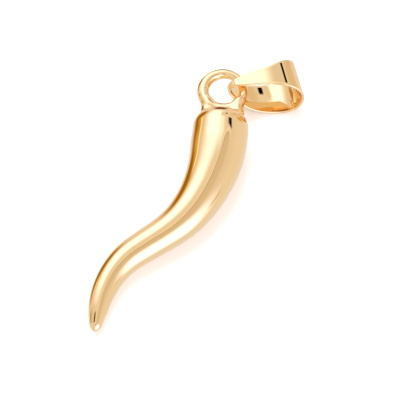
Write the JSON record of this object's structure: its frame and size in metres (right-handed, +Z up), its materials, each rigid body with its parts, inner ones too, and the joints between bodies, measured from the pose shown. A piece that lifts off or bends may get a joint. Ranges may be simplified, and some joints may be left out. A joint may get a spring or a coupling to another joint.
{
  "type": "horn pendant",
  "caption": "S-curved horn pendant with a domed top, a blunt tip, a round loop and a teardrop bail that takes a neck chain.",
  "frame": {"origin": "on the table under the middle of the whole pendant as it lies", "axes": "+Y along the horn from its tip to its domed top and loop, +Z up from the table, +X to the side towards which the bail is turned"},
  "size_m": [0.0102, 0.0368, 0.0059],
  "materials": {
    "horn_gold": "polished gold plating",
    "bail_gold": "polished gold plating"
  },
  "bodies": {
    "root": {"horn": "horn_gold", "bail": "bail_gold"}
  },
  "joints": []
}
